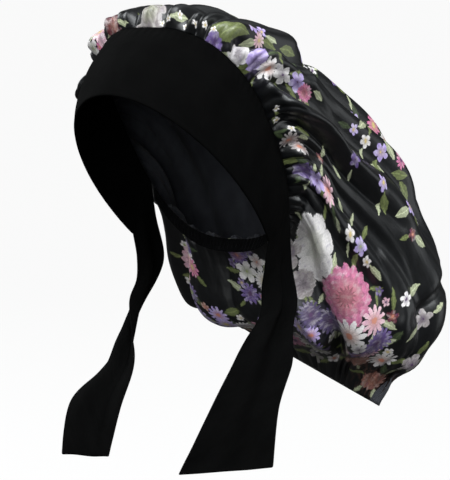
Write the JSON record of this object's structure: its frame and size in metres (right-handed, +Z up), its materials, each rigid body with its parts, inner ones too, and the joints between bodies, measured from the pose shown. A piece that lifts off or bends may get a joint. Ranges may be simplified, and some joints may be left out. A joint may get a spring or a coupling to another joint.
{
  "type": "satin bonnet",
  "caption": "Long satin hair bonnet with a gathered, drooping bag on a wide stretch headband, an elastic nape casing and untied tie ends.",
  "frame": {"origin": "the crown of the wearer's head, where the bonnet sits", "axes": "+Z up, the wearer faces -Y, so +X is the wearer's left"},
  "size_m": [0.2617, 0.3242, 0.3744],
  "materials": {
    "satin": "glossy printed satin",
    "jersey": "matte stretch jersey",
    "casing": "shirred satin over elastic"
  },
  "bodies": {
    "root": {"satin_bag": "satin", "headband": "jersey", "nape_casing": "casing", "tie_left": "jersey", "tie_right": "jersey"}
  },
  "joints": []
}
